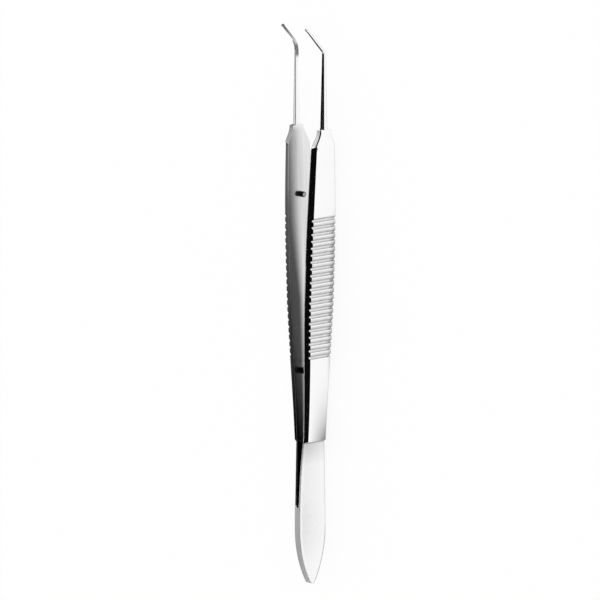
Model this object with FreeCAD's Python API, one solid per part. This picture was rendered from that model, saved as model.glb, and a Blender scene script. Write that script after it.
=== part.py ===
import FreeCAD, Part
import math
import os

# Angled micro thumb forceps of polished stainless steel, lying on its side edges.
# Millimetres. +Y runs from the welded butt to the tips, +X points towards the
# right arm, +Z points up, the way both tips bend. The origin is under the middle
# of the whole forceps, on the surface that it lies on.
# A station is a distance along the forceps, counted from the end of the butt.

# Leaf: the thin flat spring at the butt
leaf_length = 27.45
leaf_width = 6.56
leaf_widest_at = 10.8
butt_radius = 0.6
plate_thickness = 1.05
rim_bevel = 0.33
weld_length = 15.0
slot_half_gap = 0.3
spring_thickness = 0.72
spring_outer_end = 1.42

# Handle: the thick stiff length that the fingers hold
step_length = 0.35
handle_length = 56.2
waist_width = 5.24
grip_width = 6.6
grip_start = 26.2
grip_length = 8.0
neck_root_width = 5.4
handle_outer_start = 2.03
handle_outer_end = 4.56
handle_start_slope = 0.063
handle_end_slope = 0.015
heel_thickness = 1.17
grip_thickness = 1.63
neck_root_thickness = 1.42
edge_land = 0.3
handle_bevel = 0.46

# Grooves across the outer face of the handle
groove_count = 21
groove_pitch = 1.325
groove_start = 16.4
groove_width = 0.66
groove_floor = 0.14
groove_depth = 0.38

# Neck and shank
neck_length = 4.0
neck_bevel_run = 0.5
neck_bevel_runout = 0.4
neck_edge_depth = 0.3
neck_edge_bevel = 0.2
shoulder_width = 2.8
shoulder_thickness = 1.25
right_shank_length = 14.85
left_shank_length = 15.6
shank_centre = 3.93
shank_root_width = 1.1
shank_root_thickness = 1.05
shank_end_width = 0.62
shank_end_thickness = 0.55
shank_land_share = 0.5
shank_bevel_share = 0.2

# Tips, bent upwards beyond the shanks: the arms bend at different places, and both tips
# end at the same height and the same distance from the shoulder
tip_rise = 4.15
tips_from_shoulder = 19.7
tip_gather = 0.55
right_bend_radius = 1.4
left_bend_radius = 3.4
tip_end_width = 0.42
tip_end_thickness = 0.36
head_length = 0.7
head_swell = 0.12
tooth_height = 0.22
tooth_length = 0.34

# Pins on the inner face of the left arm
guide_pin_at = 40.9
guide_pin_radius = 0.65
guide_pin_reach = 2.1
stop_pin_at = 74.8
stop_pin_radius = 0.55
stop_pin_reach = 1.1
pin_seat_depth = 0.8
pin_end_bevel = 0.15
pin_seat_clearance = 0.01
guide_hole_clearance = 0.15
guide_hole_depth = 0.9

# Stations that follow from the lengths above
slot_end = weld_length + slot_half_gap
heel_at = leaf_length + step_length
neck_at = heel_at + handle_length
shoulder_at = neck_at + neck_length
bevel_end_at = neck_at + neck_bevel_run
neck_edge_at = bevel_end_at + neck_bevel_runout
grip_from = heel_at + grip_start
grip_to = grip_from + grip_length
half_height = grip_width / 2

# The side of the leaf's point is an arc that meets the round end without a corner
ogive_run = leaf_widest_at - butt_radius
ogive_radius = (ogive_run ** 2 + (leaf_width / 2) ** 2 - butt_radius ** 2) / (leaf_width - 2 * butt_radius)
ogive_start = butt_radius * (1 - ogive_run / (ogive_radius - butt_radius))


def tip_slope(shank_length):
    """Angle of the bend that brings the tip of a shank of this length level with the other."""
    return math.atan2(tip_rise, tips_from_shoulder - shank_length)


steepest_slope = max(tip_slope(right_shank_length), tip_slope(left_shank_length))
overall_length = shoulder_at + tips_from_shoulder + tip_end_width / 2 * math.sin(steepest_slope)


def ease(start, end, share):
    """A value that leaves start and reaches end with no slope at either."""
    return start + (end - start) * share * share * (3 - 2 * share)


def half_width(station):
    """Half the width of an arm: pointed leaf, waist, wide grip, narrow neck."""
    if station < leaf_widest_at:
        away = leaf_widest_at - station
        return leaf_width / 2 - ogive_radius + math.sqrt(ogive_radius ** 2 - away ** 2)
    if station < leaf_length:
        share = (station - leaf_widest_at) / (leaf_length - leaf_widest_at)
        return (leaf_width - (leaf_width - waist_width) * share * share) / 2
    if station < grip_from:
        share = (station - leaf_length) / (grip_from - leaf_length)
        return (waist_width + (grip_width - waist_width) * share * share * (2 - share)) / 2
    if station < grip_to:
        return grip_width / 2
    if station < neck_at:
        share = (station - grip_to) / (neck_at - grip_to)
        drop = 1 - math.cos(share * math.pi / 2)
        return (grip_width + (neck_root_width - grip_width) * drop) / 2
    share = min(1.0, (station - neck_at) / (0.9 * neck_length))
    return ease(neck_root_width, shoulder_width, share) / 2


def leaf_outer(station):
    """Distance of the leaf's outer face from the middle plane."""
    share = max(0.0, (station - slot_end) / (leaf_length - slot_end))
    return plate_thickness + (spring_outer_end - plate_thickness) * share * share


def leaf_inner(station):
    """Distance of the leaf's inner face from the middle plane, beyond the weld."""
    share = (station - slot_end) / (leaf_length - slot_end)
    return leaf_outer(station) - ease(plate_thickness - slot_half_gap, spring_thickness, share)


def handle_outer(station):
    """Distance of the handle's outer face from the middle plane, a gentle bow."""
    run = shoulder_at - heel_at
    share = (station - heel_at) / run
    start_part = (1 + 2 * share) * (1 - share) ** 2 * handle_outer_start
    start_part += share * (1 - share) ** 2 * run * handle_start_slope
    end_part = share * share * (3 - 2 * share) * handle_outer_end
    end_part -= share * share * (1 - share) * run * handle_end_slope
    return start_part + end_part


def handle_thickness(station):
    """Thickness of the handle: thin heel, thick grip, thinner neck."""
    if station < grip_from:
        share = (station - heel_at) / (grip_from - heel_at)
        return heel_thickness + (grip_thickness - heel_thickness) * math.sin(share * math.pi / 2)
    if station < grip_to:
        return grip_thickness
    if station < neck_at:
        share = (station - grip_to) / (neck_at - grip_to)
        drop = 1 - math.cos(share * math.pi / 2)
        return grip_thickness + (neck_root_thickness - grip_thickness) * drop
    return ease(neck_root_thickness, shoulder_thickness, (station - neck_at) / neck_length)


def handle_inner(station):
    """Distance of the handle's inner face from the middle plane."""
    return handle_outer(station) - handle_thickness(station)


def at(x, station, height):
    """A point given by its side distance, its station and its height over mid-width."""
    return FreeCAD.Vector(x, station - overall_length / 2, height + half_height)


def section(station, inner, outer, half, land, bevel):
    """Closed outline of an arm across its length, with both outer edges bevelled."""
    corners = [
        at(inner, station, -half),
        at(inner + land, station, -half),
        at(outer, station, bevel - half),
        at(outer, station, half - bevel),
        at(inner + land, station, half),
        at(inner, station, half),
    ]
    return Part.makePolygon(corners + corners[:1])


def stations(start, end, count):
    """Evenly spaced stations, with both ends."""
    return [start + (end - start) * i / (count - 1) for i in range(count)]


def plate_section(station):
    """Section of the leaf where its inner face lies on the other arm."""
    land = plate_thickness - rim_bevel
    return section(station, 0, plate_thickness, half_width(station), land, rim_bevel)


def spring_section(station):
    """Section of the leaf beyond the weld, whose rim bevel is as deep as it is wide."""
    inner = leaf_inner(station)
    outer = leaf_outer(station)
    return section(station, inner, outer, half_width(station), outer - inner - rim_bevel, rim_bevel)


def handle_section(station):
    """Section of the handle, with a narrow edge land and deep bevels."""
    inner = handle_inner(station)
    outer = handle_outer(station)
    return section(station, inner, outer, half_width(station), edge_land, handle_bevel)


def neck_section(station):
    """Section of the neck, whose sides are flat but for a small bevel at the outer face."""
    inner = handle_inner(station)
    outer = handle_outer(station)
    land = outer - inner - neck_edge_depth
    return section(station, inner, outer, half_width(station), land, neck_edge_bevel)


def leaf():
    """Pointed spring leaf: a solid plate over the weld, a thinner blade beyond it."""
    plate_stations = stations(ogive_start, leaf_widest_at, 7) + [slot_end]
    plate = Part.makeLoft([plate_section(s) for s in plate_stations], True)
    blade = Part.makeLoft([spring_section(s) for s in stations(slot_end, leaf_length, 6)], True)
    slot = Part.makeCylinder(slot_half_gap, 2 * leaf_width, at(0, slot_end, -leaf_width))
    return butt_end().fuse([plate, blade]).cut(slot)


def butt_end():
    """Rounded point of the leaf, with the rim bevel carried round it."""
    side = FreeCAD.Vector(1, 0, 0)
    land = plate_thickness - rim_bevel
    straight = Part.makeCylinder(butt_radius, land, at(0, butt_radius, 0), side)
    tapered = Part.makeCone(
        butt_radius, butt_radius - rim_bevel, rim_bevel, at(land, butt_radius, 0), side)
    return straight.fuse(tapered)


def handle():
    """Sloped step up from the leaf, the bowed handle and the neck."""
    step = Part.makeLoft([spring_section(leaf_length), handle_section(heel_at)], True, True)
    runout = Part.makeLoft([handle_section(bevel_end_at), neck_section(neck_edge_at)], True, True)
    neck = Part.makeLoft([neck_section(s) for s in stations(neck_edge_at, shoulder_at, 8)], True)
    lofts = [step, runout, neck]
    for start, end, count in ((heel_at, grip_from, 7), (grip_to, neck_at, 7), (neck_at, bevel_end_at, 3)):
        lofts.append(Part.makeLoft([handle_section(s) for s in stations(start, end, count)], True))
    return grip().fuse(lofts)


def grip():
    """Widest stretch of the handle, a straight bar whose lower edge lands are flat to rest on."""
    run = at(handle_outer(grip_to), grip_to, 0) - at(handle_outer(grip_from), grip_from, 0)
    return Part.Face(handle_section(grip_from)).extrude(run)


def grooves():
    """Cutters of the transverse grooves, each square to the bowed outer face."""
    cutters = []
    for i in range(groove_count):
        station = heel_at + groove_start + i * groove_pitch
        x = handle_outer(station)
        lean = (handle_outer(station + 0.1) - handle_outer(station - 0.1)) / 0.2
        flare = (groove_width - groove_floor) / 2
        profile = [
            (groove_depth, -groove_width / 2 - flare),
            (-groove_depth, -groove_floor / 2),
            (-groove_depth, groove_floor / 2),
            (groove_depth, groove_width / 2 + flare),
        ]
        corners = [at(x + out + along * lean, station + along - out * lean, -grip_width)
                   for out, along in profile]
        face = Part.Face(Part.makePolygon(corners + corners[:1]))
        cutters.append(face.extrude(FreeCAD.Vector(0, 0, 2 * grip_width)))
    return cutters


def bend_places(length, radius):
    """Distances along the path at which the bend starts and stops and the tip ends."""
    slope = tip_slope(length)
    tangent = radius * math.tan(slope / 2)
    start = length - tangent
    stop = start + radius * slope
    return start, stop, stop + math.hypot(tip_rise, tips_from_shoulder - length) - tangent


def tip_frame(distance, length, radius):
    """Station, height and slope of the shank's path, by distance from the shoulder."""
    start, stop, _ = bend_places(length, radius)
    turned = min(max(0.0, (distance - start) / radius), tip_slope(length))
    station = shoulder_at + min(distance, start) + radius * math.sin(turned)
    height = radius * (1 - math.cos(turned))
    beyond = max(0.0, distance - stop)
    return station + beyond * math.cos(turned), height + beyond * math.sin(turned), turned


def shank_section(distance, length, radius, swell=0.0):
    """Section across the shank or tip, square to its path and swollen by swell."""
    station, height, turned = tip_frame(distance, length, radius)
    end = bend_places(length, radius)[2]
    if distance <= length:
        share = distance / length
        width = shank_root_width + (shank_end_width - shank_root_width) * share
        deep = shank_root_thickness + (shank_end_thickness - shank_root_thickness) * share
        centre = shank_centre
    else:
        share = (distance - length) / (end - length)
        width = shank_end_width + (tip_end_width - shank_end_width) * share
        deep = shank_end_thickness + (tip_end_thickness - shank_end_thickness) * share
        centre = shank_centre - tip_gather * share
    width += swell
    deep += swell
    inner = centre - deep / 2
    land = deep * shank_land_share
    bevel = width * shank_bevel_share
    flat = [(0, -width / 2), (land, -width / 2), (deep, bevel - width / 2),
            (deep, width / 2 - bevel), (land, width / 2), (0, width / 2)]
    corners = [at(inner + x, station - z * math.sin(turned), height + z * math.cos(turned))
               for x, z in flat]
    return Part.makePolygon(corners + corners[:1])


def shank(length, radius):
    """Slender shank, its bend, the fine tip and the small toothed head."""
    start, stop, end = bend_places(length, radius)
    rod = Part.makeLoft([shank_section(d, length, radius) for d in (0, start / 2, start)], True)
    bend = Part.makeLoft([shank_section(d, length, radius) for d in stations(start, stop, 5)], True)
    neck = end - head_length
    tip = Part.makeLoft([shank_section(d, length, radius) for d in (stop, neck)], True, True)
    swells = [0, head_swell, head_swell, 0]
    places = [neck, end - 0.7 * head_length, end - 0.2 * head_length, end]
    rings = [shank_section(d, length, radius, s) for d, s in zip(places, swells)]
    head = Part.makeLoft(rings, True, True)
    return rod.fuse([bend, tip, head, tooth(length, radius)])


def tooth(length, radius):
    """Small pointed tooth on the inner side of the head."""
    place = bend_places(length, radius)[2] - 0.2 * head_length - tooth_length / 2
    station, height, turned = tip_frame(place, length, radius)
    centre = shank_centre - tip_gather
    deep = tip_end_thickness + head_swell
    along = FreeCAD.Vector(0, math.cos(turned), math.sin(turned))
    across = FreeCAD.Vector(0, -math.sin(turned), math.cos(turned))
    foot = at(centre, station, height)
    half = tip_end_width / 2
    base = [foot + along * a + across * b
            for a, b in ((-tooth_length / 2, -half), (tooth_length / 2, -half),
                         (tooth_length / 2, half), (-tooth_length / 2, half))]
    crest = FreeCAD.Vector(-deep / 2 - tooth_height, 0, 0)
    peak = [foot + crest + across * -half * 0.5, foot + crest + across * half * 0.5]
    ends = [Part.Face(Part.makePolygon([base[0], base[1], peak[0], base[0]])),
            Part.Face(Part.makePolygon([base[2], base[3], peak[1], base[2]]))]
    sides = [Part.Face(Part.makePolygon([base[1], base[2], peak[1], peak[0], base[1]])),
             Part.Face(Part.makePolygon([base[3], base[0], peak[0], peak[1], base[3]]))]
    floor = Part.Face(Part.makePolygon(base + base[:1]))
    return Part.makeSolid(Part.makeShell(ends + sides + [floor]))


def arm(shank_length, bend_radius):
    """One arm of the forceps, on the +X side."""
    body = leaf().fuse([handle(), shank(shank_length, bend_radius)])
    return body.cut(grooves())


def seat(station, radius, depth, side):
    """Cutter of a blind hole in the inner face of the arm on the given side."""
    mouth = handle_inner(station)
    start = mouth - grip_thickness
    reach = grip_thickness + depth
    return Part.makeCylinder(
        radius, reach, at(side * start, station, 0), FreeCAD.Vector(side, 0, 0))


def pin(station, radius, reach):
    """Pin seated in the left arm, with a bevelled free end."""
    back = -handle_inner(station) - pin_seat_depth
    length = pin_seat_depth + reach
    profile = [
        at(back, station, 0),
        at(back, station, radius),
        at(back + length - pin_end_bevel, station, radius),
        at(back + length, station, radius - pin_end_bevel),
        at(back + length, station, 0),
    ]
    face = Part.Face(Part.makePolygon(profile + profile[:1]))
    return face.revolve(profile[0], FreeCAD.Vector(1, 0, 0), 360)


def left_arm():
    """Arm that carries both pins."""
    body = arm(left_shank_length, left_bend_radius).mirror(FreeCAD.Vector(0, 0, 0), FreeCAD.Vector(1, 0, 0))
    guide = seat(guide_pin_at, guide_pin_radius + pin_seat_clearance, pin_seat_depth, -1)
    stop = seat(stop_pin_at, stop_pin_radius + pin_seat_clearance, pin_seat_depth, -1)
    return body.cut([guide, stop])


def right_arm():
    """Arm with the hole that takes the end of the guide pin."""
    hole = seat(guide_pin_at, guide_pin_radius + guide_hole_clearance, guide_hole_depth, 1)
    return arm(right_shank_length, right_bend_radius).cut(hole)


pieces = {
    "left_arm": left_arm(),
    "right_arm": right_arm(),
    "guide_pin": pin(guide_pin_at, guide_pin_radius, guide_pin_reach),
    "stop_pin": pin(stop_pin_at, stop_pin_radius, stop_pin_reach),
}

os.makedirs("parts", exist_ok=True)
for name, shape in pieces.items():
    shape.exportStep("parts/" + name + ".step")
    box = shape.BoundBox
    print(name, "solids", len(shape.Solids), "valid", shape.isValid(), "volume", round(shape.Volume, 2),
          "faces", len(shape.Faces), "box", [round(v, 2) for v in
          (box.XMin, box.YMin, box.ZMin, box.XMax, box.YMax, box.ZMax)])
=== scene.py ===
import math
import bpy
import numpy as np
from mathutils import Matrix, Vector


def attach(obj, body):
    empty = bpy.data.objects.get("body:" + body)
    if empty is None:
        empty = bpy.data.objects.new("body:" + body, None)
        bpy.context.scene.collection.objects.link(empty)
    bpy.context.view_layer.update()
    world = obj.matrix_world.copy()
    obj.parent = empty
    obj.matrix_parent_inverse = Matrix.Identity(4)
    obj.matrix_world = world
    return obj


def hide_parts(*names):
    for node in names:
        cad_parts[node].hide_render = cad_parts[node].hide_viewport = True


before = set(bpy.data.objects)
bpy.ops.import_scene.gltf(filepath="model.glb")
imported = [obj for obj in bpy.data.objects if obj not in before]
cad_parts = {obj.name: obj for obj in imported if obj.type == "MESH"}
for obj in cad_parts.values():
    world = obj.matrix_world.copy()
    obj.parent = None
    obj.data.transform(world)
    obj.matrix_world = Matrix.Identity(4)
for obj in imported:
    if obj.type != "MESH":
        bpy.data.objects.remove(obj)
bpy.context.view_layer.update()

mm = 0.001

# Angled micro thumb forceps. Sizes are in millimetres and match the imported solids.
# A station is a distance along the forceps, counted from the end of the butt.


# ease: a cubic that leaves a and reaches b with no slope at either end, t from 0 to 1
def ease(a, b, t):
    t = np.clip(t, 0.0, 1.0)
    return a + (b - a) * t * t * (3 - 2 * t)


# share: how far s has come from start to end, as 0 to 1
def share(s, start, end):
    return (s - start) / (end - start)


# easedPlaces: the values at the given places, eased from each place to the next
def easedPlaces(s, places):
    value = places[0][1] + 0.0 * s
    for (start, low), (end, high) in zip(places, places[1:]):
        value = value + ease(0.0, high - low, share(s, start, end))
    return value


# softStep: the ramp min(max(t, 0), 1) with both corners rounded over a width e
def softStep(t, e):
    def softFoot(x):
        return np.where(x < -e, 0.0, np.where(x < e, (x + e) ** 2 / (4 * e), x))
    return np.where(t < 0.5, softFoot(t), 1 - softFoot(1 - t))


# Leaf: the flat spring at the butt

leafShape = {
    "length": 27.45,
    "width": 6.56,
    "widestAt": 10.8,
    "buttRadius": 0.6,
    "plate": 1.05,
    "rimBevel": 0.33,
    "rimLimit": 0.98,
    "weld": 15.0,
    "slotHalfGap": 0.3,
    "spring": 0.72,
    "outerEnd": 1.42,
    "landLean": {"right": 0.0, "left": 0.08},
}

handleShape = {
    "start": 27.8,
    "gripFrom": 54.0,
    "gripTo": 62.0,
    "neckAt": 84.0,
    "shoulderAt": 88.0,
    "waistWidth": 5.24,
    "gripWidth": 6.6,
    "neckWidth": 5.4,
    "shoulderWidth": 2.8,
    "neckTaper": 0.9,
    "outerStart": 2.03,
    "outerEnd": 4.56,
    "slopeStart": 0.063,
    "slopeEnd": 0.015,
    "heelThickness": 1.17,
    "gripThickness": 1.63,
    "neckThickness": 1.42,
    "shoulderThickness": 1.25,
    "land": 0.3,
    "landLean": 0.06,
    "bevel": 0.46,
    "bevelRun": 0.5,
    "bevelRunout": 0.4,
    "bevelLeastRise": 0.05,
    "neckEdgeDepth": 0.3,
    "neckEdgeBevel": 0.2,
}

grooveShape = {
    "count": 21,
    "first": 44.2,
    "pitch": 1.325,
    "width": 0.66,
    "floor": 0.14,
    "depth": 0.38,
    "edgeRound": 0.12,
}

shankShape = {
    "length": {"right": 14.85, "left": 15.6},
    "bendRadius": {"right": 1.4, "left": 3.4},
    "tipRise": 4.15,
    "tipsFromShoulder": 19.7,
    "centre": 3.93,
    "rootSwell": 0.16,
    "rootRun": 0.3,
    "rootWidth": 1.1,
    "rootThickness": 1.05,
    "endWidth": 0.62,
    "endThickness": 0.55,
    "landShare": 0.36,
    "landLean": 0.07,
    "bevelShare": 0.15,
    "tipGather": 0.55,
    "tipWidth": 0.42,
    "tipThickness": 0.36,
    "headLength": 0.7,
    "headSwell": 0.12,
    "headRise": 0.3,
    "headFall": 0.2,
    "noseRun": 0.12,
    "noseShare": 0.35,
    "toothHeight": 0.22,
    "toothAt": 0.62,
    "toothReach": 0.24,
    "toothNarrowing": 0.5,
}

edgeShape = {
    "innerRound": {"right": 0.2, "left": 0.04},
    "fineRound": 0.03,
    "landRound": 0.06,
    "faceRound": 0.14,
    "innerRoundFrom": 1.0,
    "innerLimit": 0.45,
    "outerLimit": 0.3,
    "flatFrom": 1.5,
    "steps": 5,
}

# Numbers of rings over each stretch of an arm
ringCounts = {
    "butt": 9,
    "leaf": 34,
    "slotEnd": 9,
    "spring": 24,
    "heel": 20,
    "fore": 16,
    "neck": 26,
    "bevelRunout": 5,
    "shank": 16,
    "bend": 13,
    "tip": 8,
    "head": 22,
}


# tipSlope: the angle of the bend that brings both tips to the same place
def tipSlope(side):
    shank = shankShape
    return math.atan2(shank["tipRise"], shank["tipsFromShoulder"] - shank["length"][side])


halfLength = (handleShape["shoulderAt"] + shankShape["tipsFromShoulder"]
              + shankShape["tipWidth"] / 2 * math.sin(tipSlope("left"))) / 2
halfHeight = handleShape["gripWidth"] / 2
lastGroove = grooveShape["first"] + grooveShape["pitch"] * (grooveShape["count"] - 1)


# halfWidth: round butt end, ogive arc tangent to it, parabola to the waist, cubic to the
# grip, straight grip, quarter cosine to the neck, ease to the shoulder
def halfWidth(s):
    leaf, handle = leafShape, handleShape
    r, h = leaf["buttRadius"], leaf["width"] / 2
    run = leaf["widestAt"] - r
    ogive = (run ** 2 + h ** 2 - r ** 2) / (2 * (h - r))
    ogiveStart = r * (1 - run / (ogive - r))
    butt = np.sqrt(np.clip(r ** 2 - (r - s) ** 2, 0, None))
    arc = h - ogive + np.sqrt(ogive ** 2 - np.clip(leaf["widestAt"] - s, 0, None) ** 2)
    t = np.clip(share(s, leaf["widestAt"], leaf["length"]), 0, 1)
    waist = (leaf["width"] + (handle["waistWidth"] - leaf["width"]) * t * t) / 2
    t = np.clip(share(s, leaf["length"], handle["gripFrom"]), 0, 1)
    widening = handle["gripWidth"] - handle["waistWidth"]
    swell = (handle["waistWidth"] + widening * t * t * (2 - t)) / 2
    t = np.clip(share(s, handle["gripTo"], handle["neckAt"]), 0, 1)
    narrowing = handle["neckWidth"] - handle["gripWidth"]
    fall = (handle["gripWidth"] + narrowing * (1 - np.cos(t * math.pi / 2))) / 2
    t = share(s, handle["neckAt"], handle["shoulderAt"]) / handle["neckTaper"]
    neck = ease(handle["neckWidth"], handle["shoulderWidth"], t) / 2
    ends = [ogiveStart, leaf["widestAt"], leaf["length"], handle["gripFrom"], handle["neckAt"]]
    return np.select([s < end for end in ends], [butt, arc, waist, swell, fall], neck)


# outerFace: flat plate, parabola along the spring, straight step, then one cubic bow
def outerFace(s):
    leaf, handle = leafShape, handleShape
    slotEnd = leaf["weld"] + leaf["slotHalfGap"]
    t = np.clip(share(s, slotEnd, leaf["length"]), 0, 1)
    spring = leaf["plate"] + (leaf["outerEnd"] - leaf["plate"]) * t * t
    t = share(s, leaf["length"], handle["start"])
    step = leaf["outerEnd"] + (handle["outerStart"] - leaf["outerEnd"]) * t
    run = handle["shoulderAt"] - handle["start"]
    t = share(s, handle["start"], handle["shoulderAt"])
    bow = (1 + 2 * t) * (1 - t) ** 2 * handle["outerStart"]
    bow += t * (1 - t) ** 2 * run * handle["slopeStart"]
    bow += t * t * (3 - 2 * t) * handle["outerEnd"]
    bow -= t * t * (1 - t) * run * handle["slopeEnd"]
    return np.select([s < leaf["length"], s < handle["start"]], [spring, step], bow)


# innerFace: the middle plane over the weld, a quarter circle at the slot's end, then the
# outer face less the thickness
def innerFace(s):
    leaf, handle = leafShape, handleShape
    gap = leaf["slotHalfGap"]
    slotEnd = leaf["weld"] + gap
    corner = np.sqrt(np.clip(gap ** 2 - (slotEnd - s) ** 2, 0, None))
    t = share(s, slotEnd, leaf["length"])
    spring = outerFace(s) - ease(leaf["plate"] - gap, leaf["spring"], t)
    lastSpring = leaf["outerEnd"] - leaf["spring"]
    firstHandle = handle["outerStart"] - handle["heelThickness"]
    t = share(s, leaf["length"], handle["start"])
    step = lastSpring + (firstHandle - lastSpring) * t
    t = np.clip(share(s, handle["start"], handle["gripFrom"]), 0, 1)
    thickening = handle["gripThickness"] - handle["heelThickness"]
    heel = handle["heelThickness"] + thickening * np.sin(t * math.pi / 2)
    t = np.clip(share(s, handle["gripTo"], handle["neckAt"]), 0, 1)
    thinning = handle["neckThickness"] - handle["gripThickness"]
    grip = handle["gripThickness"] + thinning * (1 - np.cos(t * math.pi / 2))
    t = share(s, handle["neckAt"], handle["shoulderAt"])
    neck = ease(handle["neckThickness"], handle["shoulderThickness"], t)
    thick = np.select([s < handle["gripFrom"], s < handle["neckAt"]], [heel, grip], neck)
    ends = [leaf["weld"], slotEnd, leaf["length"], handle["start"]]
    return np.select([s < end for end in ends], [0 * s, corner, spring, step], outerFace(s) - thick)


# grooveDepth: a flat-floored V about each groove's middle, with rounded corners
def grooveDepth(s):
    g = grooveShape
    wall = (g["width"] - g["floor"]) / 2
    return g["depth"] * softStep((g["width"] / 2 - np.abs(fromGroove(s))) / wall, g["edgeRound"])


# fromGroove: the signed distance from the middle of the nearest groove
def fromGroove(s):
    g = grooveShape
    nearest = np.clip(np.round((s - g["first"]) / g["pitch"]), 0, g["count"] - 1)
    return s - g["first"] - nearest * g["pitch"]


# grooveStations: places close to each rounded corner of every groove, and its middle
def grooveStations():
    g = grooveShape
    wall = (g["width"] - g["floor"]) / 2
    near = np.array([-1.8, -1.0, -0.35, 0.35, 1.0]) * g["edgeRound"]
    aways = np.concatenate([g["width"] / 2 - wall * near, [g["width"] / 2 - wall * 0.5],
                            g["floor"] / 2 + wall * near[::-1][:4], [0.0]])
    aways = np.unique(np.concatenate([aways, -aways]))
    middles = np.linspace(g["first"], lastGroove, g["count"])
    return (middles[:, None] + aways[None, :]).ravel()


# bodyStations: rings from the butt to the shoulder, close where the form turns quickly
def bodyStations():
    leaf, handle, count = leafShape, handleShape, ringCounts
    grooves = grooveStations()
    quarter = np.linspace(0, math.pi / 2, count["slotEnd"])
    buttTurn = np.linspace(0.12, 1, count["butt"]) * math.pi / 2
    edges = np.array([leaf["length"], handle["start"], handle["neckAt"]])
    bevelEnd = handle["neckAt"] + handle["bevelRun"]
    parts = [
        leaf["buttRadius"] * (1 - np.cos(buttTurn)),
        np.linspace(leaf["buttRadius"], leaf["weld"] - 0.05, count["leaf"]),
        leaf["weld"] + leaf["slotHalfGap"] * (1 - np.cos(quarter)),
        np.linspace(leaf["weld"] + 0.5, leaf["length"] - 0.2, count["spring"]),
        np.linspace(handle["start"] + 0.3, grooveShape["first"] - 0.6, count["heel"]),
        grooves,
        np.linspace(lastGroove + 0.7, handle["neckAt"] - 0.2, count["fore"]),
        np.linspace(handle["neckAt"] + 0.2, handle["shoulderAt"] - 0.12, count["neck"]),
        bevelEnd + handle["bevelRunout"] * np.linspace(0, 1, count["bevelRunout"]),
        (edges[:, None] + np.array([-0.12, -0.03, 0.0, 0.03, 0.12])).ravel(),
        np.array([handle["shoulderAt"] - 0.05]),
    ]
    return np.unique(np.concatenate(parts).round(5))


# bodyRings: six corners of each section, as inner, innerHalf, landX, half, outer, outerHalf.
# At the step the leaf's rim runs over into the handle's land and bevel, and at the neck the
# bevel runs out into a flat side
def bodyRings(side):
    leaf, handle = leafShape, handleShape
    s = bodyStations()
    half, inner, outer = halfWidth(s), innerFace(s), outerFace(s)
    thick = outer - inner
    t = np.clip(share(s, leaf["length"], handle["start"]), 0, 1)
    leafLand = thick - np.minimum(leaf["rimBevel"], half)
    stepLand = (leaf["spring"] - leaf["rimBevel"]) * (1 - t) + handle["land"] * t
    land = np.where(s < leaf["length"], leafLand, stepLand)
    bevel = np.minimum(leaf["rimBevel"], half * leaf["rimLimit"]) * (1 - t) + handle["bevel"] * t
    slotEnd = leaf["weld"] + leaf["slotHalfGap"]
    lean = np.where(s < slotEnd, 0.0, leaf["landLean"][side] * (1 - t) + handle["landLean"] * t)
    t = np.clip((s - handle["neckAt"] - handle["bevelRun"]) / handle["bevelRunout"], 0, 1)
    bevel = bevel * (1 - t) + handle["neckEdgeBevel"] * t
    land = land * (1 - t) + (thick - handle["neckEdgeDepth"]) * t
    full = outer - np.maximum(0, leaf["rimBevel"] - half) * (s < leaf["widestAt"])
    depth = grooveDepth(s)
    rise = np.maximum(full - inner - land, handle["bevelLeastRise"])
    outerHalf = half - lean - (bevel - lean) * (1 - depth / rise)
    flat = np.zeros_like(s)
    return {"station": s, "height": flat, "tilt": flat,
            "inner": inner, "innerHalf": half,
            "landX": inner + land, "half": half - lean,
            "outer": full - depth, "outerHalf": outerHalf}


# shankPath: straight, an arc that starts at no angle and ends at the tip's, straight again;
# gives station, height and angle at distance d from the shoulder
def shankPath(d, side):
    radius, slope = shankShape["bendRadius"][side], tipSlope(side)
    straight = shankShape["length"][side] - radius * math.tan(slope / 2)
    turned = np.clip((d - straight) / radius, 0, slope)
    beyond = np.clip(d - straight - radius * slope, 0, None)
    station = np.minimum(d, straight) + radius * np.sin(turned) + beyond * math.cos(slope)
    height = radius * (1 - np.cos(turned)) + beyond * math.sin(slope)
    return handleShape["shoulderAt"] + station, height, turned


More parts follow.
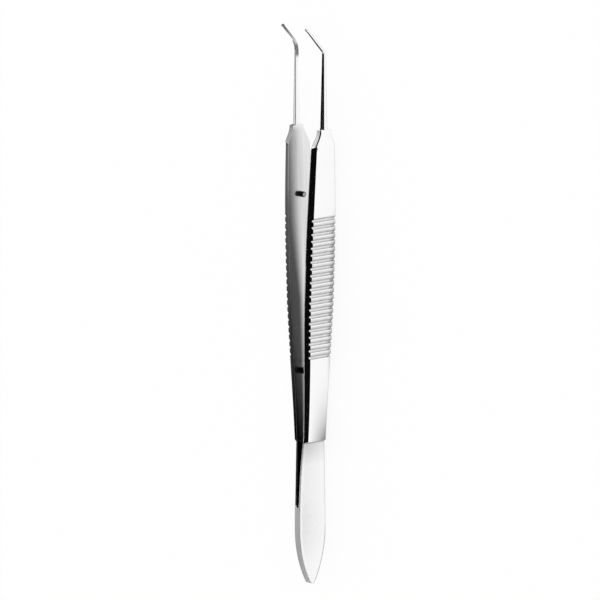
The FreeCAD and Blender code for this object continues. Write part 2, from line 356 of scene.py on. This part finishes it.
# shankRings: the same six corners along the shank, bend, tip and toothed head. Width and
# thickness taper in straight lines, the root and the head swell by rounded steps, the nose
# closes by a quarter ellipse, and the tooth is a triangle
def shankRings(side):
    shank, count = shankShape, ringCounts
    length, radius, slope = shank["length"][side], shank["bendRadius"][side], tipSlope(side)
    tangent = radius * math.tan(slope / 2)
    bendFrom = length - tangent
    bendTo = bendFrom + radius * slope
    tipRun = math.hypot(shank["tipRise"], shank["tipsFromShoulder"] - length)
    end = bendTo + tipRun - tangent
    head = end - shank["headLength"]
    noseFrom = end - shank["noseRun"]
    d = np.concatenate([
        [0.0, 0.02, 0.06, 0.14, 0.3],
        np.linspace(0.9, bendFrom - 0.1, count["shank"]),
        np.linspace(bendFrom, bendTo, count["bend"]),
        np.linspace(bendTo + 0.2, head - 0.1, count["tip"]),
        np.linspace(head, noseFrom, count["head"]),
        end - np.array([0.10, 0.06, 0.03, 0.01, 0.0]),
    ])
    before = np.clip(d / length, 0, 1)
    after = np.clip(share(d, length, end), 0, 1)
    width = shank["rootWidth"] + (shank["endWidth"] - shank["rootWidth"]) * before
    thick = shank["rootThickness"] + (shank["endThickness"] - shank["rootThickness"]) * before
    width = width + (shank["tipWidth"] - shank["endWidth"]) * after
    thick = thick + (shank["tipThickness"] - shank["endThickness"]) * after
    centre = shank["centre"] - shank["tipGather"] * after
    along = (d - head) / shank["headLength"]
    rise = ease(0, 1, along / shank["headRise"])
    fall = ease(1, 0, (along - 1 + shank["headFall"]) / shank["headFall"])
    root = ease(1, 0, d / shank["rootRun"])
    swell = shank["headSwell"] * rise * fall + shank["rootSwell"] * root
    noseLeft = np.clip((end - d) / shank["noseRun"], 0, 1)
    nose = shank["noseShare"] + (1 - shank["noseShare"]) * np.sqrt(1 - (1 - noseLeft) ** 2)
    nose = np.where(d > noseFrom, nose, 1.0)
    width = (width + swell) * nose
    thick = (thick + swell) * nose
    inner = centre - thick / 2
    tooth = np.clip(1 - np.abs(along - shank["toothAt"]) / shank["toothReach"], 0, 1)
    station, height, turned = shankPath(d, side)
    return {"station": station, "height": height, "tilt": turned,
            "inner": inner - shank["toothHeight"] * tooth,
            "innerHalf": width / 2 * (1 - shank["toothNarrowing"] * tooth),
            "landX": inner + thick * shank["landShare"],
            "half": width / 2 - thick * shank["landLean"],
            "outer": inner + thick,
            "outerHalf": width / 2 - width * shank["bevelShare"]}


# roundedRings: each corner P becomes the curve (1-t)^2 A + 2t(1-t) P + t^2 B, where A and B
# lie a short way along its two edges, with one more point beyond each to keep the flats flat
def roundedRings(rings, side):
    edge = edgeShape
    x = np.stack([rings[k] for k in ("inner", "landX", "outer", "outer", "landX", "inner")], 1)
    z = np.stack([-rings["innerHalf"], -rings["half"], -rings["outerHalf"],
                  rings["outerHalf"], rings["half"], rings["innerHalf"]], 1)
    corner = np.stack([x, z], 2)
    toPrev = np.roll(corner, 1, 1) - corner
    toNext = np.roll(corner, -1, 1) - corner
    lenPrev = np.linalg.norm(toPrev, axis=2, keepdims=True) + 1e-9
    lenNext = np.linalg.norm(toNext, axis=2, keepdims=True) + 1e-9
    station = rings["station"]
    pastWeld = station > leafShape["weld"] + edge["innerRoundFrom"]
    onHandle = pastWeld & (station < handleShape["shoulderAt"])
    inner = np.where(onHandle, edge["innerRound"][side], edge["fineRound"])
    land = np.full_like(inner, edge["landRound"])
    face = np.full_like(inner, edge["faceRound"])
    wanted = np.stack([inner, land, face, face, land, inner], 1)[:, :, None]
    limit = np.array([edge["innerLimit"]] + [edge["outerLimit"]] * 4 + [edge["innerLimit"]])
    cut = np.minimum(wanted, limit[None, :, None] * np.minimum(lenPrev, lenNext))
    stepPrev = toPrev / lenPrev * cut
    stepNext = toNext / lenNext * cut
    start, stop = corner + stepPrev, corner + stepNext
    curve = [(1 - t) ** 2 * start + 2 * t * (1 - t) * corner + t * t * stop
             for t in np.linspace(0, 1, edge["steps"])]
    flats = [corner + stepPrev * edge["flatFrom"], corner + stepNext * edge["flatFrom"]]
    ring = np.stack([flats[0]] + curve + [flats[1]], 2)
    return ring.reshape(len(x), -1, 2)


# armPoints: rings placed on the path; the section's z axis leans back by the path's tilt
def armPoints(side):
    body, shank = bodyRings(side), shankRings(side)
    rings = {k: np.concatenate([body[k], shank[k]]) for k in body}
    profile = roundedRings(rings, side)
    sine = np.sin(rings["tilt"])[:, None]
    cosine = np.cos(rings["tilt"])[:, None]
    x = profile[:, :, 0]
    y = rings["station"][:, None] - profile[:, :, 1] * sine - halfLength
    z = rings["height"][:, None] + profile[:, :, 1] * cosine + halfHeight
    return np.stack([x, y, z], 2), armMarks(rings["station"][:, None], x.shape, side)


# Marks on an arm's surface: how much painted shade it carries, and how satin it is. The
# places are stations, each with the painted shade there
toneShape = {
    "grooveWall": 0.72,
    "grooveFloor": 0.15,
    "wallFrom": 0.4,
    "wallRun": 0.55,
    "wallFade": 0.25,
    "step": 0.45,
    "stepMargins": (0.04, 0.01),
    "neckCrease": 1.0,
    "creaseMargins": (0.12, 0.02),
    "neckSide": 0.42,
    "farLandFrom": 0.4,
    "farLand": [(50, 0.75), (62, 0.25), (74, 0.58)],
    "leafFace": [(2, 0.03), (11, 0.17), (13, 0.17), (18, 0.11)],
    "leafLowerEdge": [(7, 0.6), (12, 0.25)],
    "handleLowerEdge": 0.3,
    "leafSatinTo": 0.05,
    "neckSatinFrom": 0.9,
    "nearEdgeSatin": 1.8,
    "farShankSatin": 0.3,
}


# grooveShade: painted shade, darkest at the wall of each groove nearer the tips, fading towards the
# butt
def grooveShade(s):
    tone = toneShape
    along = fromGroove(s) / grooveShape["width"] + 0.5
    rising = np.clip((along - tone["wallFrom"]) / tone["wallRun"], 0, 1) ** 2
    rising = tone["grooveFloor"] + (1 - tone["grooveFloor"]) * rising
    fading = 1 - (along - 1) / tone["wallFade"]
    return tone["grooveWall"] * np.clip(np.where(along > 1, fading, rising), 0, 1) * (along > 0)


# edgeShade: painted shade in the crease at the step below the handle
def edgeShade(s):
    before, after = toneShape["stepMargins"]
    onStep = (s > leafShape["length"] - before) & (s < handleShape["start"] - after)
    return toneShape["step"] * onStep


# landShade: painted shade on the left arm's edge land, dark near the butt, lightest at the
# grip, grey at the neck
def landShade(s):
    neckFrom = handleShape["neckAt"] + handleShape["bevelRun"]
    onHandle = (s > leafShape["weld"] + toneShape["farLandFrom"]) & (s < neckFrom)
    onNeck = (s >= neckFrom) & (s < handleShape["shoulderAt"])
    return onHandle * easedPlaces(s, toneShape["farLand"]) + onNeck * toneShape["neckSide"]


# neckShade: painted shade in the crease where the handle's bevel runs out at the neck
def neckShade(s):
    before, after = toneShape["creaseMargins"]
    bevelEnd = handleShape["neckAt"] + handleShape["bevelRun"]
    creaseTo = bevelEnd + handleShape["bevelRunout"] + after
    return toneShape["neckCrease"] * ((s > bevelEnd - before) & (s < creaseTo))


# armMarks: column runs round the ring from the lower inner corner over the outer face, with
# as many columns for each of the six corners. The marks are 1 or an amount where they hold, and the
# shade mark carries painted shade
def armMarks(station, shape, side):
    leaf, handle, tone = leafShape, handleShape, toneShape
    column = np.arange(shape[1])[None, :]
    corner = shape[1] // 6
    onLeaf = station < leaf["length"]

    inside = (column < corner // 2) | (column >= shape[1] - corner // 2)
    outerFaces = (column >= 2 * corner) & (column < 4 * corner)
    lowerEdge = (column >= 2 * corner) & (column < 3 * corner - 1)
    upperFace = (column >= 3 * corner) & (column < 4 * corner - 3)
    upperBevel = (column > 3 * corner + 2) & (column < 4 * corner + 4)
    upperLand = (column >= 4 * corner + 4) & (column < 5 * corner + 4)

    # Painted shade along the lower outer edge, stronger on the leaf
    lowerEdgeShade = easedPlaces(station, tone["leafLowerEdge"])
    lowerEdgeShade = np.where(onLeaf, lowerEdgeShade, tone["handleLowerEdge"])
    # Painted shade in the grooves and at the step
    paintedShade = np.maximum(grooveShade(station) * outerFaces, edgeShade(station))
    paintedShade = np.maximum(paintedShade, lowerEdgeShade * lowerEdge)
    # Painted shade on the leaf's upper face
    paintedShade = np.maximum(paintedShade, easedPlaces(station, tone["leafFace"]) * (onLeaf & upperFace))
    # Painted shade in the crease at the neck
    paintedShade = np.maximum(paintedShade, neckShade(station) * upperBevel)

    outside = (column > corner + corner // 2) & (column < 4 * corner + corner // 2)
    welded = station < leaf["weld"] + leaf["slotHalfGap"]
    neckSatinFrom = handle["neckAt"] + tone["neckSatinFrom"]
    onNeck = (station > neckSatinFrom) & (station < handle["shoulderAt"])
    nearLeaf = station < leaf["length"] + tone["leafSatinTo"]
    satin = 1.0 * (nearLeaf & (outside | welded))
    satin = np.maximum(satin, onNeck & upperLand)
    if side == "right":
        innerEdge = (station < handle["gripTo"]) & (column >= 5 * corner)
        satin = np.maximum(np.maximum(satin, onLeaf), tone["nearEdgeSatin"] * innerEdge)
    else:
        onShank = station > handle["shoulderAt"]
        # Painted shade on the left arm's edge land
        paintedShade = np.maximum(paintedShade, landShade(station) * upperLand)
        satin = np.maximum(satin, tone["farShankSatin"] * (onShank & upperLand))
    return {"inside": np.broadcast_to(inside, shape), "paintedShade": paintedShade, "satin": satin}


# gridMesh: rings of points joined to a closed skin, with a flat cap at each end
def gridMesh(name, points, flip=False, marks=None):
    rows, cols = points.shape[:2]
    i, j = np.meshgrid(np.arange(rows - 1), np.arange(cols), indexing="ij")
    k = (j + 1) % cols
    here, above = i * cols, (i + 1) * cols
    quads = np.stack([here + j, here + k, above + k, above + j], 2).reshape(-1, 4)
    faces = quads.tolist()
    faces.append(list(range(cols))[::-1])
    faces.append(list(range((rows - 1) * cols, rows * cols)))
    if flip:
        faces = [f[::-1] for f in faces]
    mesh = bpy.data.meshes.new(name)
    mesh.from_pydata((points.reshape(-1, 3) * mm).tolist(), [], faces)
    mesh.shade_smooth()
    for key, values in (marks or {}).items():
        layer = mesh.attributes.new(key, "FLOAT", "POINT")
        layer.data.foreach_set("value", values.astype(np.float32).ravel())
    piece = bpy.data.objects.new(name, mesh)
    bpy.context.scene.collection.objects.link(piece)
    return piece


# lathe: a profile of distance and radius turned about a line along X, with the flat far end
# marked
def lathe(name, start, profile, y, z, turns=64):
    along, radius = np.array(profile).T[:, :, None]
    angle = np.linspace(0, 2 * math.pi, turns, endpoint=False)
    x = start + along + 0 * angle
    points = np.stack([x, y + radius * np.cos(angle), z + radius * np.sin(angle)], 2)
    atEnd = (along >= along[-1]) + 0.0 * angle
    return gridMesh(name, points, marks={"end": atEnd})


# Shader sums: a socket that takes part in Python sums, and one material's nodes

class Wire:
    def __init__(self, bench, socket):
        self.bench = bench
        self.socket = socket

    def sum(self, operation, first, second):
        return self.bench.node("ShaderNodeMath", {"operation": operation}, {0: first, 1: second})

    def __add__(self, other):
        return self.sum("ADD", self, other)

    def __radd__(self, other):
        return self.sum("ADD", other, self)

    def __sub__(self, other):
        return self.sum("SUBTRACT", self, other)

    def __rsub__(self, other):
        return self.sum("SUBTRACT", other, self)

    def __mul__(self, other):
        return self.sum("MULTIPLY", self, other)

    def __rmul__(self, other):
        return self.sum("MULTIPLY", other, self)


class Bench:
    def __init__(self, name):
        self.material = bpy.data.materials.new(name)
        self.material.use_nodes = True
        self.tree = self.material.node_tree
        self.tree.nodes.clear()

    def node(self, kind, settings=None, inputs=None, output=0):
        made = self.tree.nodes.new(kind)
        for key, value in (settings or {}).items():
            setattr(made, key, value)
        for key, value in (inputs or {}).items():
            if isinstance(value, Wire):
                self.tree.links.new(value.socket, made.inputs[key])
            else:
                made.inputs[key].default_value = value
        return Wire(self, made.outputs[output])

    def blend(self, factor, first, second):
        inputs = {0: factor, 6: first, 7: second}
        return self.node("ShaderNodeMix", {"data_type": "RGBA"}, inputs, 2)

    def finish(self, surface):
        end = self.tree.nodes.new("ShaderNodeOutputMaterial")
        self.tree.links.new(surface.socket, end.inputs["Surface"])
        return self.material


def objectPosition(bench):
    return bench.node("ShaderNodeTexCoord", output="Object")


def noise(bench, position, scale, detail=3.0):
    inputs = {"Vector": position, "Scale": scale, "Detail": detail}
    return bench.node("ShaderNodeTexNoise", {}, inputs, "Fac")


def mark(bench, name):
    return bench.node("ShaderNodeAttribute", {"attribute_name": name}, output="Fac")


# ramp: low before start, high after end, a straight or smooth run between them
def ramp(value, start, end, low=0.0, high=1.0, kind="LINEAR"):
    inputs = {"Value": value, "From Min": start, "From Max": end, "To Min": low, "To Max": high}
    return value.bench.node("ShaderNodeMapRange", {"interpolation_type": kind}, inputs)


# Ranges give a station or height where the ramp starts, one where it ends, and, unless it
# runs from 0 to 1, the values there
armFinish = {
    "color": (0.98, 0.98, 0.98, 1),
    # The dark colour of the fine streaks and of painted shade
    "streakAndShadeColor": (0.02, 0.02, 0.02, 1),
    # Painted reflection and painted shade on the inner face: its dark colours and where they reach
    "innerShadeColor": (0.135, 0.135, 0.14, 1),
    "heelInnerShadeColor": (0.01, 0.01, 0.011, 1),
    "heelRange": (24.0, 50.0),
    "innerShadeEdge": (55.0, 70.0, 0.5, 1.3),
    "innerShadeRun": (55.0, 78.0, 0.7, 2.6),
    "shankRange": (87.0, 88.5, 1.0, 0.0),
    "tipRange": (100.0, 103.0),
    "bendStart": (100.9, 101.5),
    "bendEnd": (103.2, 103.9),
    "bendShade": 0.9,
    "streakScale": (200.0, 70.0, 1600.0),
    "streakDepth": 0.3,
    # Painted shade on the outer face: at the heel, on the leaf below the step, and along the grip
    "heelShade": 0.72,
    "heelShadeRange": (45.0, 28.0),
    "heelShadeHeight": (2.1, -1.8),
    "leafShade": 0.35,
    "leafShadeRange": (23.0, 27.0),
    "leafShadeHeight": (-6.0, 3.0),
    "gripShade": 0.6,
    "gripMiddle": 56.0,
    "gripShadeRange": (17.0, 11.0),
    "gripShadeHeight": (-1.6, -3.0),
    "mottleScale": 1100.0,
    "mottleRange": (0.6, 0.8),
    "polishRoughness": 0.07,
    "insideRoughness": 0.20,
    "satinRoughness": 0.36,
    "blotchScale": 260.0,
    "blotchRoughness": 0.04,
    "satinGrain": 9000.0,
    "satinBump": 0.06,
    "grainHeight": 0.0001,
}


# Inner face: painted reflection, darker from its upper edge and further down towards the
# butt, and painted shade at the bend, with fine streaks along the arm
def insideTone(bench, position, station, height):
    f = armFinish
    depth = height - ramp(station, *f["innerShadeEdge"])
    away = depth.sum("DIVIDE", depth, ramp(station, *f["innerShadeRun"]))
    innerShade = ramp(away, -1.0, 1.0, kind="SMOOTHSTEP")
    awayFromShank = ramp(station, *f["shankRange"]) + ramp(station, *f["tipRange"])
    onBend = ramp(station, *f["bendStart"]) - ramp(station, *f["bendEnd"])
    innerShade = innerShade * awayFromShank * (1 - onBend) + onBend * f["bendShade"]
    heel = ramp(station, *f["heelRange"], kind="SMOOTHSTEP")
    innerShadeColor = bench.blend(heel, f["heelInnerShadeColor"], f["innerShadeColor"])
    color = bench.blend(innerShade, f["color"], innerShadeColor)
    inputs = {0: position, 1: f["streakScale"]}
    scaled = bench.node("ShaderNodeVectorMath", {"operation": "MULTIPLY"}, inputs)
    streaks = noise(bench, scaled, 1.0)
    return bench.blend(streaks * f["streakDepth"] * awayFromShank, color, f["streakAndShadeColor"])


# Outer face: painted shade, greyer above the step and low on it, on the leaf below the step,
# and along the grip's lower side
def outsideTone(bench, station, height):
    f = armFinish
    onLeaf = station.sum("LESS_THAN", station, leafShape["length"] + 0.1)
    heel = ramp(station, *f["heelShadeRange"])
    heel = heel * heel * heel * ramp(height, *f["heelShadeHeight"]) * (1 - onLeaf)
    leaf = ramp(station, *f["leafShadeRange"]) * ramp(height, *f["leafShadeHeight"]) * onLeaf
    fromGrip = {0: station - f["gripMiddle"]}
    fromGrip = bench.node("ShaderNodeMath", {"operation": "ABSOLUTE"}, fromGrip)
    grip = ramp(height, *f["gripShadeHeight"]) * ramp(fromGrip, *f["gripShadeRange"])
    shade = heel * f["heelShade"] + leaf * f["leafShade"] + grip * f["gripShade"]
    return bench.blend(shade, f["color"], f["streakAndShadeColor"])


# Polished steel, satin on the leaf and rougher between the arms, with painted reflection between
# the arms and its painted shade marks on top
def armSteel():
    f = armFinish
    bench = Bench("armSteel")
    position = objectPosition(bench)
    satin, inside, paintedShade = mark(bench, "satin"), mark(bench, "inside"), mark(bench, "paintedShade")
    y = bench.node("ShaderNodeSeparateXYZ", {}, {0: position}, "Y")
    z = bench.node("ShaderNodeSeparateXYZ", {}, {0: position}, "Z")
    station = y * (1 / mm) + halfLength
    height = z * (1 / mm) - halfHeight
    outside = outsideTone(bench, station, height)
    color = bench.blend(inside, outside, insideTone(bench, position, station, height))
    least, spread = f["mottleRange"]
    mottle = noise(bench, position, f["mottleScale"], 4.0) * spread + least
    color = bench.blend(paintedShade * mottle, color, f["streakAndShadeColor"])
    roughness = satin * (f["satinRoughness"] - f["polishRoughness"]) + f["polishRoughness"]
    roughness = roughness + inside * (f["insideRoughness"] - f["polishRoughness"])
    roughness = roughness + noise(bench, position, f["blotchScale"]) * f["blotchRoughness"]
    grain = noise(bench, position, f["satinGrain"], 1.0) * satin
    normal = bench.node("ShaderNodeBump", {}, {
        "Height": grain, "Strength": f["satinBump"], "Distance": f["grainHeight"]})
    return bench.finish(bench.node("ShaderNodeBsdfPrincipled", {}, {
        "Base Color": color, "Metallic": 1.0, "Roughness": roughness, "Normal": normal}))


pinFinish = {
    "sideColor": (0.006, 0.006, 0.0065, 1),
    "endReflectionColor": (0.36, 0.36, 0.36, 1),
    "roughness": 0.10,
    "blotchRoughness": 0.08,
    "blotchScale": 900.0,
}


# Pin steel: dark and polished, with a painted reflection that makes the flat end brighter
def pinSteel():
    f = pinFinish
    bench = Bench("pinSteel")
    color = bench.blend(mark(bench, "end"), f["sideColor"], f["endReflectionColor"])
    blotch = noise(bench, objectPosition(bench), f["blotchScale"])
    roughness = blotch * f["blotchRoughness"] + f["roughness"]
    return bench.finish(bench.node("ShaderNodeBsdfPrincipled", {}, {
        "Base Color": color, "Metallic": 1.0, "Roughness": roughness}))


# cutHole: takes a cutter's form out of a piece, then drops the cutter
def cutHole(piece, cutter, sharpAngle=70.0):
    cut = piece.modifiers.new("hole", "BOOLEAN")
    cut.object = cutter
    cut.operation = "DIFFERENCE"
    cut.solver = "EXACT"
    bpy.context.view_layer.update()
    whole = piece.evaluated_get(bpy.context.evaluated_depsgraph_get())
    mesh = bpy.data.meshes.new_from_object(whole)
    piece.modifiers.clear()
    piece.data = mesh
    mesh.set_sharp_from_angle(angle=math.radians(sharpAngle))
    bpy.data.objects.remove(cutter)


def wear(piece, material):
    piece.data.materials.clear()
    piece.data.materials.append(material)


# Arms

steel = armSteel()
pins = pinSteel()

rightPoints, marks = armPoints("right")
rightArm = gridMesh("rightArmSkin", rightPoints, marks=marks)
leftPoints, marks = armPoints("left")
leftArm = gridMesh("leftArmSkin", leftPoints * np.array([-1, 1, 1]), flip=True, marks=marks)

pinShape = {
    "guidePin": {"node": "guide_pin", "at": 40.9, "radius": 0.65, "reach": 2.1},
    "stopPin": {"node": "stop_pin", "at": 74.8, "radius": 0.55, "reach": 1.1},
    "seatDepth": 0.8,
    "endRound": 0.15,
    "poleRadius": 0.02,
    "footRing": 0.05,
    "endRing": 0.5,
}

# Blind hole for the guide pin, in the right arm's inner face
holeShape = {"clearance": 0.15, "depth": 0.9, "cutterLead": 1.0}

guideAt = pinShape["guidePin"]["at"]
holeRadius = pinShape["guidePin"]["radius"] + holeShape["clearance"]
holeEnd = holeShape["cutterLead"] + holeShape["depth"]
holeProfile = [
    (0.0, pinShape["poleRadius"]),
    (0.0, holeRadius),
    (holeShape["cutterLead"], holeRadius),
    (holeEnd, holeRadius),
    (holeEnd, pinShape["poleRadius"]),
]
holeStart = float(innerFace(np.array([guideAt]))[0]) - holeShape["cutterLead"]
cutter = lathe("holeCutter", holeStart, holeProfile, guideAt - halfLength, halfHeight)
cutHole(rightArm, cutter)

for piece, node in ((rightArm, "right_arm"), (leftArm, "left_arm")):
    wear(piece, steel)
    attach(piece, "root")
    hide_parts(node)
print("arms made,", len(rightArm.data.polygons), "faces each")

# Pins on the left arm's inner face

# pinProfile: a straight side, then a quarter circle into a flat end, with a ring close to
# the foot and one on the end
def pinProfile(radius, length):
    endRound, pole = pinShape["endRound"], pinShape["poleRadius"]
    turn = np.linspace(0, math.pi / 2, 8)
    along = length - endRound * (1 - np.sin(turn))
    away = radius - endRound * (1 - np.cos(turn))
    foot = [(0.0, pole), (0.0, radius), (pinShape["footRing"], radius)]
    end = [(length, radius * pinShape["endRing"]), (length, pole)]
    return foot + list(zip(along, away)) + end


for name in ("guidePin", "stopPin"):
    pin = pinShape[name]
    back = -float(innerFace(np.array([pin["at"]]))[0]) - pinShape["seatDepth"]
    profile = pinProfile(pin["radius"], pinShape["seatDepth"] + pin["reach"])
    piece = lathe(name, back, profile, pin["at"] - halfLength, halfHeight)
    wear(piece, pins)
    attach(piece, "root")
    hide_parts(pin["node"])
print("pins made")

# Stage, light and camera

stageShape = {
    "floorSize": 6.0,
    "floorColor": (0.96, 0.96, 0.96, 1),
    "seenWhite": 0.88,
    "mirroredWhite": 0.8,
    "worldStrength": 1.0,
}

# Glowing cards that only reflections see, painting what the steel reflects: two opposite
# corners in metres, and shades at two or more places along Y
cards = {
    "overheadCard": {
        "from": (-0.31, -0.35, 0.45),
        "to": (0.20, 0.45, 0.45),
        "shades": [(-0.35, 0.003), (0.45, 0.003)],
    },
    "cornerCard": {
        "from": (-0.45, -0.50, 0.44),
        "to": (-0.24, -0.34, 0.44),
        "shades": [(-0.50, 0.05), (0.0, 0.05)],
    },
    "nearCard": {
        "from": (-0.45, -0.50, 0.0),
        "to": (0.06, -0.50, 0.30),
        "shades": [(-0.50, 0.003), (0.0, 0.003)],
    },
    "leftCard": {
        "from": (-0.45, -0.50, 0.0),
        "to": (-0.45, 0.60, 0.45),
        "shades": [(-0.150, 0.25), (-0.135, 0.0), (-0.110, 0.0), (-0.085, 0.07),
                   (-0.065, 0.09), (-0.055, 0.22), (-0.047, 0.75)],
    },
    "lowCard": {
        "from": (-0.02, -0.10, 0.0),
        "to": (-0.02, 0.10, 0.011),
        "shades": [(-0.056, 0.45), (-0.042, 0.0), (-0.028, 0.0), (0.03, 0.12)],
    },
}


# Floor paper: plain diffuse paper, part of which is simply white to the camera and in
# mirrors, so that it stays white and still holds the shadow
def floorPaper():
    bench = Bench("floorPaper")
    seen = bench.node("ShaderNodeLightPath", output="Is Camera Ray")
    mirrored = bench.node("ShaderNodeLightPath", output="Is Glossy Ray")
    through = bench.node("ShaderNodeLightPath", output="Is Transmission Ray")
    factor = seen * stageShape["seenWhite"] + (mirrored + through) * stageShape["mirroredWhite"]
    paper = bench.node("ShaderNodeBsdfDiffuse", {}, {"Color": stageShape["floorColor"]})
    white = bench.node("ShaderNodeEmission", {}, {"Color": (1, 1, 1, 1), "Strength": 1.0})
    return bench.finish(bench.node("ShaderNodeMixShader", {}, {0: factor, 1: paper, 2: white}))


# Card glow: an emitted shade, the first shade plus one straight ramp for each further place
def cardGlow(name, shades):
    bench = Bench(name)
    y = bench.node("ShaderNodeSeparateXYZ", {}, {0: objectPosition(bench)}, "Y")
    shade = shades[0][1]
    for (start, low), (end, high) in zip(shades, shades[1:]):
        shade = shade + ramp(y, start, end, high=high - low)
    return bench.finish(bench.node("ShaderNodeEmission", {}, {"Color": shade, "Strength": 1.0}))


# cardCorners: a level card where both corners are at one height, an upright one otherwise
def cardCorners(card):
    (x0, y0, z0), (x1, y1, z1) = card["from"], card["to"]
    if z0 == z1:
        return [(x0, y0, z0), (x1, y0, z0), (x1, y1, z0), (x0, y1, z0)]
    return [(x0, y0, z0), (x1, y1, z0), (x1, y1, z1), (x0, y0, z1)]


def stagePlane(name, corners, material):
    mesh = bpy.data.meshes.new(name)
    mesh.from_pydata(corners, [], [(0, 1, 2, 3)])
    mesh.materials.append(material)
    plane = bpy.data.objects.new(name, mesh)
    bpy.context.scene.collection.objects.link(plane)
    return plane


half = stageShape["floorSize"] / 2
floorCorners = [(-half, -half, 0), (half, -half, 0), (half, half, 0), (-half, half, 0)]
stagePlane("floor", floorCorners, floorPaper())
for name, card in cards.items():
    plane = stagePlane(name, cardCorners(card), cardGlow(name, card["shades"]))
    plane.visible_camera = False
    plane.visible_diffuse = False
    plane.visible_shadow = False

world = bpy.data.worlds.new("studio")
bpy.context.scene.world = world
world.use_nodes = True
background = world.node_tree.nodes["Background"]
background.inputs["Color"].default_value = (1, 1, 1, 1)
background.inputs["Strength"].default_value = stageShape["worldStrength"]

cameraShape = {
    "toCamera": Vector((0.7307, 0.1822, 0.6580)),
    "up": Vector((-0.1354, 0.9833, -0.1219)),
    "aim": Vector((0.0, 54.9 - halfLength, 2.42 + halfHeight)) * mm,
    "distance": 3.0,
    "spanAtAim": 0.1136,
    "slide": (-0.00013, 0.00011),
}

cameraData = bpy.data.cameras.new("camera")
camera = bpy.data.objects.new("camera", cameraData)
bpy.context.scene.collection.objects.link(camera)
back = cameraShape["toCamera"].normalized()
right = cameraShape["up"].cross(back).normalized()
up = back.cross(right)
turn = Matrix((right, up, back)).transposed()
aim = cameraShape["aim"] + right * cameraShape["slide"][0] + up * cameraShape["slide"][1]
camera.matrix_world = Matrix.Translation(aim + back * cameraShape["distance"]) @ turn.to_4x4()
cameraData.sensor_width = 36.0
cameraData.lens = 36.0 * cameraShape["distance"] / cameraShape["spanAtAim"]
cameraData.clip_start = 0.1
cameraData.clip_end = 20.0
bpy.context.scene.camera = camera
bpy.context.scene.view_settings.view_transform = "Standard"
print("stage, light and camera made")
